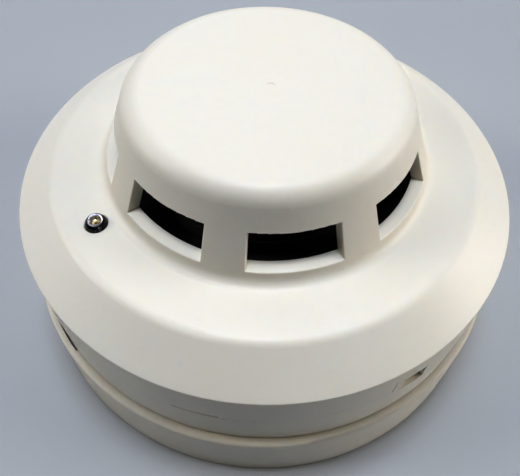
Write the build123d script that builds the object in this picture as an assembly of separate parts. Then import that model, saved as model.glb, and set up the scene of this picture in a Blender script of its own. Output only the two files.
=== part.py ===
from build123d import *
import math
import os

# Point smoke detector: a plug-in optical head on a twist-lock mounting base.
# Millimetres. The back face of the base lies on Z = 0, the dome points along +Z,
# and the axis of the round body is the Z axis. Angles are degrees about +Z from +X.

# ---- Overall outline ----
HEAD_DIAMETER = 105.0        # at the sharp edge below the chamfer
TOP_HEIGHT = 57.7            # back face to the top of the dome
BASE_HEIGHT = 15.6           # top of the base rim
SEAM_HEIGHT = 26.0           # joint between rear housing and top cover
EDGE_HEIGHT = 34.8           # sharp edge between side wall and chamfer
SHOULDER_HEIGHT = 40.9       # flat shoulder beside the dome
CREASE_RADIUS = 44.4         # chamfer meets shoulder
CREASE_DROP = 0.2
SIDE_FLARE = 0.15            # the side wall is this much wider at its foot
DOME_FOOT_RADIUS = 33.95     # where the dome's side meets the shoulder
DOME_TOP_RADIUS = 27.2       # where it would meet the flat top
DOME_ROUND = 4.2
FOOT_ROUND = 2.2
CREASE_ROUND = 3.0
EDGE_ROUND = 0.35

# ---- Walls and general clearances ----
COVER_WALL = 2.3
DOME_WALL = 2.4              # flat top of the dome
HOUSING_WALL = 2.0
BASE_WALL = 1.35             # rim beside the head
LEDGE_WIDTH = 0.8            # the rim reaches this far in under the head's side wall
BASE_FLARE = 0.45            # the base is this much wider at the back face
BASE_FOOT_ROUND = 0.4
RIM_ROUND = 0.5
BASE_FLOOR = 2.5
HEAD_GAP = 0.3               # head to base, radial
TURN_GAP = 0.3               # faces that pass each other when the head turns
SNUG_GAP = 0.1               # between nested fixed mouldings
SCREW_GAP = 0.1              # clearance hole over a screw shank, radial
THREAD_GAP = 0.05
CUT_PAST = 1.0               # how far a cutter stands out of the wall it cuts
CUT_THROUGH = 20.0           # length of a cutter that goes right through a small piece
BITE = 0.5                   # how far a feature sinks into the body that it joins
SCREW_SHY = 1.0              # screw end short of the end of its bore

# ---- Smoke windows ----
WINDOW_COUNT = 8
WINDOW_HALF_ANGLE = 15.4
SILL_RISE = 2.4              # window sill above the shoulder
LINTEL_DROP = 7.2            # window top below the dome top
WINDOW_ROUND = 0.2           # outer edges of the windows
GATE_RADIUS = 0.9
GATE_DEPTH = 0.12
GATE_CIRCLE = 1.2            # gate mark off the middle of the dome
GATE_ANGLE = -80.0

# ---- Side-wall details of the head ----
LIP_THICKNESS = 0.95         # tongue of the rear housing inside the cover
LIP_RISE = 2.6               # tongue height above the seam
SEAM_GAP = 0.05
SLIT_ANGLE = -112.5
SLIT_HALF_ANGLE = 4.7
SLIT_HEIGHT = 0.5
NOTCH_ANGLE = -68.0
NOTCH_HALF_ANGLE = 3.0
NOTCH_RISE = 4.0             # above the seam
NOTCH_DROP = 1.0             # below the seam
CRACK_ANGLE = -72.8
CRACK_WIDTH = 0.35
CRACK_RISE = 4.6
HOOK_COUNT = 3
HOOK_HALF_ANGLE = 5.0
HOOK_THICKNESS = 1.4
HOOK_REACH = 5.2             # hook end below the seam
HOOK_ROOT_RISE = 0.3         # hook root above the notch
HOOK_ROOT = 2.2              # height of the web that joins it to the skirt
BARB_HEIGHT = 1.5
BARB_DEPTH = 0.8
POCKET_SIDE = 0.4            # degrees between a barb and its pocket's side

# ---- Bayonet ----
EAR_BOTTOM = 5.2
EAR_THICKNESS = 2.0
EAR_ANGLES = (197.0, 317.0, 77.0)
EAR_HALF_ANGLES = (8.0, 8.0, 11.0)
LUG_HALF_ANGLE = 8.0
LUG_THICKNESS = 2.2
LUG_DEPTH = 2.4
STOP_GAP = 0.6               # degrees between an ear and its stop
STOP_HALF_ANGLE = 1.0
SPIGOT_WALL = 2.0

# ---- Rear housing floor and contacts ----
FLOOR_BOTTOM = 12.0
FLOOR_THICKNESS = 2.0
CONTACT_COUNT = 4
CONTACT_ANGLE = 57.0
CONTACT_INSET = 9.8          # contact track inside the spigot bore
BLADE_THICKNESS = 0.7
BLADE_HALF_ANGLE = 11.0
BLADE_HALF_WIDTH = 2.7
PILLAR_INSET = 8.0           # pillars inside the contact track
PILLAR_RADIUS = 2.5
PILLAR_BORE_DEPTH = 6.0
CONTACT_SCREW_RADIUS = 1.25
CONTACT_HEAD_RADIUS = 2.25
CONTACT_HEAD_HEIGHT = 1.7
BLADE_MARGIN = 2.6           # blade past the middle of its screw

# ---- Base terminals ----
PLATFORM_LENGTH = 9.5
PLATFORM_HALF_WIDTH = 4.5
PLATFORM_HEIGHT = 3.0
TERMINAL_OFFSET = -9.0       # terminal screw along the contact strip
STRIP_THICKNESS = 0.8
STRIP_HALF_WIDTH = 4.0
LEAF_THICKNESS = 0.6
LEAF_WIDTH = 5.0
LEAF_CREST = 6.0             # crest of the spring along the strip
LEAF_ROOT = 1.0              # leaf under the flat end
LEAF_SHOULDER = (2.0, 0.6)   # start of the crest: before it, and below it
LEAF_BROW = (1.2, 0.3)       # end of the crest: past it, and below it
LEAF_TAIL = (3.5, 1.6)
CLAMP_SIZE = 7.0
CLAMP_THICKNESS = 1.2
CLAMP_CORNER = 0.8
TERMINAL_SCREW_RADIUS = 1.75
TERMINAL_HEAD_RADIUS = 3.4
TERMINAL_HEAD_HEIGHT = 1.9
TERMINAL_BITE = 4.2          # shank below the clamp
TERMINAL_ROOM = 0.4          # bore past the end of the shank
TERMINAL_TURN = 35.0         # degrees of the screw's slot

# ---- Mounting ----
CABLE_HOLE_RADIUS = 10.0
CABLE_COLLAR = 1.4
COLLAR_HEIGHT = 2.0
SLOT_SPACING = 60.0
SLOT_LENGTH = 14.0
SLOT_RADIUS = 2.25
SLOT_PAD = 2.6               # thicker floor round each slot
PAD_HEIGHT = 0.8
RIB_ANGLES = (85.0, 105.0, 265.0, 285.0)
RIB_THICKNESS = 1.4
RIB_HEIGHT = 2.0
RIB_STOP = 2.0               # rib end inside the spigot

# ---- Lock lever ----
LOCK_ANGLE = 207.0
LOCK_LIFT = 9.5              # degrees from rest to beside the ear
LOCK_HALF_WIDTH = 1.4
LOCK_PIVOT_INSET = 13.5      # pivot inside the base wall
LOCK_PIVOT_HEIGHT = 5.0
LOCK_HUB_RADIUS = 1.7
LOCK_PIN_RADIUS = 0.8
LOCK_PIN_GAP = 0.05
LOCK_ARM_BOTTOM = 0.5
LOCK_ARM_THICKNESS = 1.7
LOCK_HEEL_GAP = 0.6          # floor opening behind the lever
LOCK_CHEEK = 1.8
CHEEK_MARGIN = 0.4           # cheek beside the hub
LOCK_WALL_GAP = 0.9          # floor opening beside the lever
LOCK_SIDE_GAP = 0.3          # hub to each cheek
TOOL_SLOT_ANGLE = 208.0
TOOL_SLOT_HALF_ANGLE = 5.5
TOOL_SLOT_DEPTH = 0.1

# ---- Circuit board ----
BOARD_DEPTH = 7.65           # top of the board below the shoulder
BOARD_THICKNESS = 1.6
BOARD_MARGIN = 3.7           # board edge inside the cover wall
LEAD_SIZE = 0.5
LEAD_HOLE_RADIUS = 0.45
LEAD_TAIL = 1.5
LEAD_STUB = 1.0              # wire that stands through the board

# ---- Sensing chamber ----
CHAMBER_GAP = 0.6            # lid edge to the inside of the dome
CHAMBER_FLOOR = 1.8
FLOOR_BELOW_SILL = 2.2
CHAMBER_TOP_DROP = 4.6       # top of the chamber lid below the dome top
LID_THICKNESS = 1.6
LIP_WIDTH = 0.5
LIP_HEIGHT = 1.0
LID_LIP_HEIGHT = 0.8
LID_LIP_GAP = 0.6            # vanes to the lid's inner lip
SCREEN_THICKNESS = 0.4
SCREEN_COLUMNS = 60
SCREEN_ROWS = 4
SCREEN_BAR = 0.9
SCREEN_EDGE = 0.4            # plain band beside each lip
PEDESTAL_INSET = 0.6         # pedestal wall inside the chamber floor's edge
PEDESTAL_WALL = 2.0
FLANGE_RADIUS = 35.2
FLANGE_THICKNESS = 1.2
GASKET_THICKNESS = 0.9
GASKET_WIDTH = 2.2
GASKET_INSET = 0.2
VANE_COUNT = 24
VANE_THICKNESS = 1.0
VANE_INSET = 2.2             # vanes inside the chamber's edge
VANE_DEPTH = 5.3
VANE_SWEEP = 8.0             # degrees that a vane's elbow stands off its ends
VANE_CLEAR_ANGLE = 24.0      # free of vanes to each side of a holder
EMITTER_ANGLE = 150.0
RECEIVER_ANGLE = 290.0
HOLDER_FRONT = 10.8
HOLDER_BACK = 20.0
RECEIVER_TAIL = 1.0          # receiver holder behind the emitter's
HOLDER_CHEEK = 2.1           # beside the widest lamp
HOLDER_WALL = 1.0
APERTURE_RADIUS = 1.75
EMITTER_RADIUS = 2.5
EMITTER_TIP = 12.0
EMITTER_FLANGE = 0.4
EMITTER_FLANGE_DEPTH = 1.0
EMITTER_GAP = 0.05
LEAD_PITCH = 2.54
LEAD_INSET = 1.2             # bend of the lead inside the pedestal
LEAD_SLOT = 0.6
DIODE_BACK = 19.0
DIODE_SIZE = (3.0, 5.0, 6.0)
DIODE_LENS_RADIUS = 2.0
SHIELD_SHEET = 0.3
SHIELD_GAP = 0.2
SHIELD_TAB = 0.5             # half width of the can's leg
SHIELD_SLOT = (0.4, 0.8)     # half sizes of the slot for the leg
CHAMBER_SCREW_COUNT = 3
CHAMBER_SCREW_CIRCLE = 16.0
CHAMBER_SCREW_RADIUS = 1.1
CHAMBER_HEAD_RADIUS = 2.2
CHAMBER_HEAD_HEIGHT = 1.5
CHAMBER_SCREW_BITE = 4.5
BOSS_RADIUS = 3.0

# ---- Status light ----
LIGHT_ANGLE = 204.6
LIGHT_CIRCLE = 38.4
LIGHT_RADIUS = 2.15
LIGHT_LENGTH = 9.0
LIGHT_FLANGE = 0.4
LIGHT_FLANGE_HEIGHT = 1.0
LIGHT_STANDOFF = 0.4
LIGHT_GAP = 0.1


def place(shape, angle):
    """Turn a shape about the Z axis."""
    return Rot(0, 0, angle) * shape


def on_circle(shape, radius, angle, height=0.0):
    """Move a shape out along X, up, and then round the Z axis."""
    return place(Pos(radius, 0, height) * shape, angle)


def rod(radius, bottom, top):
    """Upright cylinder on the Z axis."""
    height = top - bottom
    return Pos(0, 0, bottom + height / 2) * Cylinder(radius, height)


def ring(inner, outer, bottom, top):
    """Plain ring about the Z axis."""
    return rod(outer, bottom, top) - rod(inner, bottom, top)


def block(x, y, z):
    """Box given by its limits along the three axes."""
    middle = [(low + high) / 2 for low, high in (x, y, z)]
    size = [high - low for low, high in (x, y, z)]
    return Pos(*middle) * Box(*size)


def outline(points, rounds=()):
    """Closed outline through (radius, height) points, with some corners rounded."""
    face = make_face(Polyline(*points, close=True))
    for corner, radius in rounds:
        vertex = face.vertices().sort_by_distance((corner[0], corner[1], 0))[0]
        face = fillet(vertex, radius)
    return face


def turned(points, rounds=(), arc=360):
    """Solid of revolution about the Z axis."""
    return revolve(Plane.XZ * outline(points, rounds), Axis.Z, arc)


def sector(inner, outer, bottom, top, angle, half_angle):
    """Piece of a ring, centred on an angle."""
    points = [(inner, bottom), (outer, bottom), (outer, top), (inner, top)]
    return place(turned(points, arc=2 * half_angle), angle - half_angle)


def inner_line(start, end, distance):
    """The line from start to end, moved to its left by a distance."""
    along = Vector(*end) - Vector(*start)
    left = Vector(-along.Y, along.X).normalized() * distance
    return Vector(*start) + left, Vector(*end) + left


def at_height(line, height):
    """Point of a line at a height."""
    start, end = line
    share = (height - start.Y) / (end.Y - start.Y)
    return (start.X + share * (end.X - start.X), height)


def at_radius(line, radius):
    """Point of a line at a radius."""
    start, end = line
    share = (radius - start.X) / (end.X - start.X)
    return (radius, start.Y + share * (end.Y - start.Y))


def meeting(line, other):
    """Point where two lines of the outline meet."""
    (a, b), (c, d) = line, other
    r, s = b - a, d - c
    share = ((c - a).X * s.Y - (c - a).Y * s.X) / (r.X * s.Y - r.Y * s.X)
    point = a + r * share
    return (point.X, point.Y)


def screw(radius, length, head_radius, head_height, slot_width=0.8):
    """Cheese-head screw pointing down, with the underside of its head at the origin."""
    head = rod(head_radius, 0, head_height)
    slot = Pos(0, 0, head_height) * Box(3 * head_radius, slot_width, head_height)
    return head - slot + rod(radius, -length, 0)


def upside_down(shape):
    return Rot(180, 0, 0) * shape


def evenly(count, start=0.0):
    """Angles of a feature repeated round the axis."""
    return [start + index * 360 / count for index in range(count)]


# ---- Worked-out sizes ----
HEAD_RADIUS = HEAD_DIAMETER / 2
SIDE_RADIUS = HEAD_RADIUS + SIDE_FLARE
BASE_INNER = SIDE_RADIUS + HEAD_GAP
BASE_BORE = BASE_INNER - LEDGE_WIDTH
RIM_RADIUS = BASE_INNER + BASE_WALL
BASE_RADIUS = RIM_RADIUS + BASE_FLARE
COVER_INNER = SIDE_RADIUS - HOUSING_WALL
SPIGOT_OUTER = BASE_BORE - LUG_DEPTH - HEAD_GAP
SPIGOT_INNER = SPIGOT_OUTER - SPIGOT_WALL
LUG_BOTTOM = EAR_BOTTOM + EAR_THICKNESS + TURN_GAP
LUG_TOP = LUG_BOTTOM + LUG_THICKNESS
SIDE_BOTTOM = LUG_TOP + HEAD_GAP
FLOOR_TOP = FLOOR_BOTTOM + FLOOR_THICKNESS
BLADE_BOTTOM = FLOOR_BOTTOM - BLADE_THICKNESS
CREST_HEIGHT = BLADE_BOTTOM - TURN_GAP
CONTACT_CIRCLE = SPIGOT_INNER - CONTACT_INSET
CREST_TURN = math.degrees(math.atan2(LEAF_CREST, CONTACT_CIRCLE))
PILLAR_CIRCLE = CONTACT_CIRCLE - PILLAR_INSET
PLATFORM_TOP = BASE_FLOOR + PLATFORM_HEIGHT
STRIP_TOP = PLATFORM_TOP + STRIP_THICKNESS
CLAMP_TOP = STRIP_TOP + CLAMP_THICKNESS
LOCK_PIVOT_CIRCLE = BASE_BORE - LOCK_PIVOT_INSET
LOCK_REACH = BASE_BORE - TURN_GAP - LOCK_PIVOT_CIRCLE
LOCK_SWING = math.radians(LOCK_LIFT)
LOCK_HEEL = LOCK_PIVOT_HEIGHT - LOCK_ARM_BOTTOM
LOCK_TIP = LOCK_PIVOT_CIRCLE + (LOCK_REACH - LOCK_HEEL * math.sin(LOCK_SWING)) / math.cos(LOCK_SWING)
LOCK_TOOTH_TOP = EAR_BOTTOM - HEAD_GAP
LOCK_TOOTH_REACH = (SPIGOT_OUTER + HEAD_GAP - LOCK_PIVOT_CIRCLE) / math.cos(LOCK_SWING)
LOCK_TOOTH_INSIDE = LOCK_PIVOT_CIRCLE + LOCK_TOOTH_REACH
BOARD_TOP = SHOULDER_HEIGHT - BOARD_DEPTH
BOARD_BOTTOM = BOARD_TOP - BOARD_THICKNESS
BOARD_RADIUS = COVER_INNER - BOARD_MARGIN
LEAD_END = BOARD_BOTTOM - LEAD_TAIL
SILL_HEIGHT = SHOULDER_HEIGHT + SILL_RISE
LINTEL_HEIGHT = TOP_HEIGHT - LINTEL_DROP
SHOULDER_UNDER = SHOULDER_HEIGHT - COVER_WALL
CHAMBER_FLOOR_TOP = SILL_HEIGHT - FLOOR_BELOW_SILL
LID_TOP = TOP_HEIGHT - CHAMBER_TOP_DROP
LID_BOTTOM = LID_TOP - LID_THICKNESS
DOME_LINE = ((DOME_FOOT_RADIUS, SHOULDER_HEIGHT), (DOME_TOP_RADIUS, TOP_HEIGHT))
DOME_INSIDE = inner_line(*DOME_LINE, COVER_WALL)
CHAMBER_RADIUS = at_height(DOME_INSIDE, LID_TOP)[0] - CHAMBER_GAP
SCREEN_OUTER = CHAMBER_RADIUS - LIP_WIDTH - SNUG_GAP
SCREEN_INNER = SCREEN_OUTER - SCREEN_THICKNESS
OPTICAL_HEIGHT = (CHAMBER_FLOOR_TOP + LID_BOTTOM) / 2
VANE_TOP = LID_BOTTOM - SNUG_GAP
VANE_OUTER = CHAMBER_RADIUS - VANE_INSET
VANE_INNER = VANE_OUTER - VANE_DEPTH
PEDESTAL_OUTER = CHAMBER_RADIUS - PEDESTAL_INSET
PEDESTAL_INNER = PEDESTAL_OUTER - PEDESTAL_WALL
GASKET_TOP = SHOULDER_UNDER
FLANGE_TOP = GASKET_TOP - GASKET_THICKNESS
LEAD_BEND = PEDESTAL_INNER - LEAD_INSET
HOLDER_HALF_WIDTH = EMITTER_RADIUS + HOLDER_CHEEK
EMITTER_BACK = HOLDER_BACK + EMITTER_FLANGE_DEPTH


# ---- Mounting base ----
def contact_frames():
    """Angles of the contact strips: each runs along +Y at its own place on +X."""
    return evenly(CONTACT_COUNT, CONTACT_ANGLE)


def mounting_slot(side):
    centre = side * SLOT_SPACING / 2
    straight = SLOT_LENGTH - 2 * SLOT_RADIUS
    bottom, top = -CUT_PAST, BASE_FLOOR + PAD_HEIGHT + CUT_PAST
    ends = (centre - straight / 2, centre + straight / 2)
    cut = block(ends, (-SLOT_RADIUS, SLOT_RADIUS), (bottom, top))
    for end in ends:
        cut += Pos(end, 0, 0) * rod(SLOT_RADIUS, bottom, top)
    return cut


def mounting_base():
    foot = (BASE_RADIUS, 0)
    rim = (RIM_RADIUS, BASE_HEIGHT)
    points = [
        (CABLE_HOLE_RADIUS, 0), foot, rim, (BASE_BORE, BASE_HEIGHT),
        (BASE_BORE, BASE_FLOOR), (CABLE_HOLE_RADIUS, BASE_FLOOR),
    ]
    body = turned(points, [(foot, BASE_FOOT_ROUND), (rim, RIM_ROUND)])
    collar_top = BASE_FLOOR + COLLAR_HEIGHT
    body += ring(CABLE_HOLE_RADIUS, CABLE_HOLE_RADIUS + CABLE_COLLAR, BASE_FLOOR, collar_top)
    for angle in RIB_ANGLES:
        length = (CABLE_HOLE_RADIUS + CABLE_COLLAR / 2, SPIGOT_INNER - RIB_STOP)
        sides = (-RIB_THICKNESS / 2, RIB_THICKNESS / 2)
        body += place(block(length, sides, (BASE_FLOOR, BASE_FLOOR + RIB_HEIGHT)), angle)
    for side in (-1, 1):
        reach = SLOT_LENGTH / 2 + SLOT_PAD
        half = SLOT_RADIUS + SLOT_PAD
        centre = side * SLOT_SPACING / 2
        sides = (-half, half)
        pad = block((centre - reach, centre + reach), sides, (BASE_FLOOR, BASE_FLOOR + PAD_HEIGHT))
        body = body + pad - mounting_slot(side)
    for angle, half_angle in zip(EAR_ANGLES, EAR_HALF_ANGLES):
        root = BASE_BORE + LEDGE_WIDTH / 2
        body += sector(BASE_BORE - LUG_DEPTH, root, LUG_BOTTOM, LUG_TOP, angle, LUG_HALF_ANGLE)
        stop = angle - half_angle - STOP_GAP - STOP_HALF_ANGLE
        body += sector(BASE_BORE - LUG_DEPTH, root, BASE_FLOOR, LUG_TOP, stop, STOP_HALF_ANGLE)
    middle = TERMINAL_OFFSET
    for angle in contact_frames():
        platform = block(
            (CONTACT_CIRCLE - PLATFORM_HALF_WIDTH, CONTACT_CIRCLE + PLATFORM_HALF_WIDTH),
            (middle - PLATFORM_LENGTH / 2, middle + PLATFORM_LENGTH / 2),
            (BASE_FLOOR, PLATFORM_TOP),
        )
        hole_bottom = CLAMP_TOP - TERMINAL_BITE - TERMINAL_ROOM
        hole = rod(TERMINAL_SCREW_RADIUS + 2 * SCREW_GAP, hole_bottom, PLATFORM_TOP)
        body += place(platform, angle)
        body -= place(Pos(CONTACT_CIRCLE, middle, 0) * hole, angle)
    return body + lock_cheeks() - lock_cutout() - tool_slot()


def lock_cutout():
    half = LOCK_HALF_WIDTH + LOCK_WALL_GAP
    start = LOCK_PIVOT_CIRCLE - LOCK_HUB_RADIUS - LOCK_HEEL_GAP
    limits = (start, BASE_BORE - SNUG_GAP)
    return place(block(limits, (-half, half), (-CUT_PAST, BASE_FLOOR)), LOCK_ANGLE)


def lock_cheeks():
    """Two ears on the base floor that hold the ends of the lock pin."""
    gap = LOCK_HALF_WIDTH + LOCK_WALL_GAP
    reach = LOCK_HUB_RADIUS + CHEEK_MARGIN
    cheeks = None
    for side in (-1, 1):
        sides = sorted((side * gap, side * (gap + LOCK_CHEEK)))
        cheek = block(
            (LOCK_PIVOT_CIRCLE - reach, LOCK_PIVOT_CIRCLE + reach), sides,
            (BASE_FLOOR, LOCK_PIVOT_HEIGHT + LOCK_HUB_RADIUS),
        )
        cheeks = cheek if cheeks is None else cheeks + cheek
    bore = Rot(90, 0, 0) * Cylinder(LOCK_PIN_RADIUS, CUT_THROUGH)
    hole = Pos(LOCK_PIVOT_CIRCLE, 0, LOCK_PIVOT_HEIGHT) * bore
    return place(cheeks - hole, LOCK_ANGLE)


def lock_pin():
    length = 2 * (LOCK_HALF_WIDTH + LOCK_WALL_GAP + LOCK_CHEEK)
    pin = Rot(90, 0, 0) * Cylinder(LOCK_PIN_RADIUS, length)
    return on_circle(pin, LOCK_PIVOT_CIRCLE, LOCK_ANGLE, LOCK_PIVOT_HEIGHT)


def lock_lever():
    """Lever under the spigot, with a tooth that rises beside one bayonet ear."""
    half = (-LOCK_HALF_WIDTH, LOCK_HALF_WIDTH)
    hub_half = LOCK_HALF_WIDTH + LOCK_WALL_GAP - LOCK_SIDE_GAP
    hub = Rot(90, 0, 0) * Cylinder(LOCK_HUB_RADIUS, 2 * hub_half)
    heel = (LOCK_PIVOT_CIRCLE - LOCK_HUB_RADIUS, LOCK_PIVOT_CIRCLE + LOCK_HUB_RADIUS)
    arm_top = LOCK_ARM_BOTTOM + LOCK_ARM_THICKNESS
    body = Pos(LOCK_PIVOT_CIRCLE, 0, LOCK_PIVOT_HEIGHT) * hub
    body += block(heel, half, (LOCK_ARM_BOTTOM, LOCK_PIVOT_HEIGHT))
    body += block((heel[0], LOCK_TIP), half, (LOCK_ARM_BOTTOM, arm_top))
    body += block((LOCK_TOOTH_INSIDE, LOCK_TIP), half, (LOCK_ARM_BOTTOM, LOCK_TOOTH_TOP))
    bore = Rot(90, 0, 0) * Cylinder(LOCK_PIN_RADIUS + LOCK_PIN_GAP, CUT_THROUGH)
    return place(body - Pos(LOCK_PIVOT_CIRCLE, 0, LOCK_PIVOT_HEIGHT) * bore, LOCK_ANGLE)


def tool_slot():
    """Slot in the rim beside the head, for the blade that lifts the lock."""
    inner, outer = BASE_BORE - SNUG_GAP, BASE_INNER + TOOL_SLOT_DEPTH
    limits = (LUG_TOP + SNUG_GAP, BASE_HEIGHT + CUT_PAST)
    return sector(inner, outer, *limits, TOOL_SLOT_ANGLE, TOOL_SLOT_HALF_ANGLE)


def base_contacts():
    """Spring strips: a flat terminal end and a leaf that rises to the head's blade."""
    start = TERMINAL_OFFSET + PLATFORM_LENGTH / 2
    low = PLATFORM_TOP + LEAF_THICKNESS / 2
    high = CREST_HEIGHT - LEAF_THICKNESS / 2
    path = [
        (start - LEAF_ROOT, low), (start, low),
        (LEAF_CREST - LEAF_SHOULDER[0], high - LEAF_SHOULDER[1]), (LEAF_CREST, high),
        (LEAF_CREST + LEAF_BROW[0], high - LEAF_BROW[1]),
        (LEAF_CREST + LEAF_TAIL[0], high - LEAF_TAIL[1]),
    ]
    upper = [inner_line(path[i], path[i + 1], LEAF_THICKNESS / 2) for i in range(len(path) - 1)]
    lower = [inner_line(path[i], path[i + 1], -LEAF_THICKNESS / 2) for i in range(len(path) - 1)]
    points = []
    for side in (upper, lower):
        joints = [meeting(side[i], side[i + 1]) for i in range(len(side) - 1)]
        run = [(side[0][0].X, side[0][0].Y)] + joints + [(side[-1][1].X, side[-1][1].Y)]
        points += run if side is upper else run[::-1]
    face = Plane.YZ * make_face(Polyline(*points, close=True))
    leaf = extrude(face, LEAF_WIDTH / 2, both=True)
    plate = block(
        (-STRIP_HALF_WIDTH, STRIP_HALF_WIDTH),
        (TERMINAL_OFFSET - PLATFORM_LENGTH / 2, start),
        (PLATFORM_TOP, STRIP_TOP),
    )
    plate -= Pos(0, TERMINAL_OFFSET, 0) * rod(TERMINAL_SCREW_RADIUS + THREAD_GAP, 0, CUT_THROUGH)
    strip = plate + leaf
    return [on_circle(strip, CONTACT_CIRCLE, angle) for angle in contact_frames()]


def terminal_clamps():
    half = CLAMP_SIZE / 2
    clamp = block((-half, half), (-half, half), (STRIP_TOP, CLAMP_TOP))
    clamp = chamfer(clamp.edges().filter_by(Axis.Z), CLAMP_CORNER)
    clamp = Pos(0, TERMINAL_OFFSET, 0) * (clamp - rod(TERMINAL_SCREW_RADIUS + SCREW_GAP, 0, CUT_THROUGH))
    return [on_circle(clamp, CONTACT_CIRCLE, angle) for angle in contact_frames()]


def terminal_screws():
    fastener = screw(TERMINAL_SCREW_RADIUS, TERMINAL_BITE, TERMINAL_HEAD_RADIUS, TERMINAL_HEAD_HEIGHT)
    fastener = Pos(0, TERMINAL_OFFSET, CLAMP_TOP) * Rot(0, 0, TERMINAL_TURN) * fastener
    return [on_circle(fastener, CONTACT_CIRCLE, angle) for angle in contact_frames()]


# ---- Head shells ----
def top_cover():
    foot, top = DOME_LINE
    edge = (HEAD_RADIUS, EDGE_HEIGHT)
    crease = (CREASE_RADIUS, SHOULDER_HEIGHT - CREASE_DROP)
    bottom = SEAM_HEIGHT + SEAM_GAP
    outer = [(0, bottom), (SIDE_RADIUS, bottom), edge, crease, foot, top, (0, TOP_HEIGHT)]
    rounds = [(edge, EDGE_ROUND), (crease, CREASE_ROUND), (foot, FOOT_ROUND), (top, DOME_ROUND)]
    body = turned(outer, rounds)
    chamfer_inside = inner_line(edge, crease, COVER_WALL)
    ceiling = TOP_HEIGHT - DOME_WALL
    dome_top = at_height(DOME_INSIDE, ceiling)
    rebate = COVER_INNER + LIP_THICKNESS + SNUG_GAP
    rebate_top = SEAM_HEIGHT + LIP_RISE + SNUG_GAP
    cavity = [
        (0, bottom - CUT_PAST), (rebate, bottom - CUT_PAST), (rebate, rebate_top), (COVER_INNER, rebate_top),
        at_radius(chamfer_inside, COVER_INNER), at_height(chamfer_inside, SHOULDER_UNDER),
        at_height(DOME_INSIDE, SHOULDER_UNDER), dome_top, (0, ceiling),
    ]
    body -= turned(cavity, [(dome_top, DOME_ROUND - COVER_WALL)])
    body = place(body, 180 / WINDOW_COUNT)
    for angle in evenly(WINDOW_COUNT):
        body -= sector(CHAMBER_RADIUS, HEAD_RADIUS, SILL_HEIGHT, LINTEL_HEIGHT, angle, WINDOW_HALF_ANGLE)
    body = fillet(window_rims(body), WINDOW_ROUND)
    for angle in evenly(HOOK_COUNT, NOTCH_ANGLE):
        body += place(cover_hook(), angle)
    hole = rod(LIGHT_RADIUS + LIGHT_GAP, SHOULDER_UNDER - CUT_PAST, SHOULDER_HEIGHT + CUT_PAST)
    body -= on_circle(hole, LIGHT_CIRCLE, LIGHT_ANGLE)
    gate = rod(GATE_RADIUS, TOP_HEIGHT - GATE_DEPTH, TOP_HEIGHT + CUT_PAST)
    body -= on_circle(gate, GATE_CIRCLE, GATE_ANGLE)
    slit_top = bottom + SLIT_HEIGHT
    outside = SIDE_RADIUS + CUT_PAST
    below = bottom - CUT_PAST
    body -= sector(COVER_INNER, outside, below, slit_top, SLIT_ANGLE, SLIT_HALF_ANGLE)
    notch_top = SEAM_HEIGHT + NOTCH_RISE
    notch_inside = COVER_INNER - SNUG_GAP
    body -= sector(notch_inside, outside, below, notch_top, NOTCH_ANGLE, NOTCH_HALF_ANGLE)
    crack = (-CRACK_WIDTH / 2, CRACK_WIDTH / 2)
    crack_top = SEAM_HEIGHT + CRACK_RISE
    body -= place(block((COVER_INNER, outside), crack, (below, crack_top)), CRACK_ANGLE)
    return body


def window_rims(body):
    """Edges round each window on the outer face of the dome."""
    face = (Vector(*DOME_LINE[0]), Vector(*DOME_LINE[1]))
    rims = []
    for edge in body.edges():
        places = [edge @ share for share in (0.0, 0.5, 1.0)]
        within = all(SILL_HEIGHT - SNUG_GAP < p.Z < LINTEL_HEIGHT + SNUG_GAP for p in places)
        gaps = [abs(math.hypot(p.X, p.Y) - at_height(face, p.Z)[0]) for p in places]
        if within and max(gaps) < SNUG_GAP:
            rims.append(edge)
    return rims


def cover_hook():
    """Snap hook that hangs from the skirt inside the rear housing, with its barb outwards."""
    outer = COVER_INNER - 2 * SNUG_GAP
    inner = outer - HOOK_THICKNESS
    end = SEAM_HEIGHT - HOOK_REACH
    root = SEAM_HEIGHT + NOTCH_RISE + HOOK_ROOT_RISE
    hook = sector(inner, outer, end, root, 0, HOOK_HALF_ANGLE)
    hook += sector(inner, COVER_INNER + BITE, root - SNUG_GAP, root + HOOK_ROOT, 0, HOOK_HALF_ANGLE)
    return hook + sector(inner, outer + BARB_DEPTH, end, end + BARB_HEIGHT, 0, HOOK_HALF_ANGLE)


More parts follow.
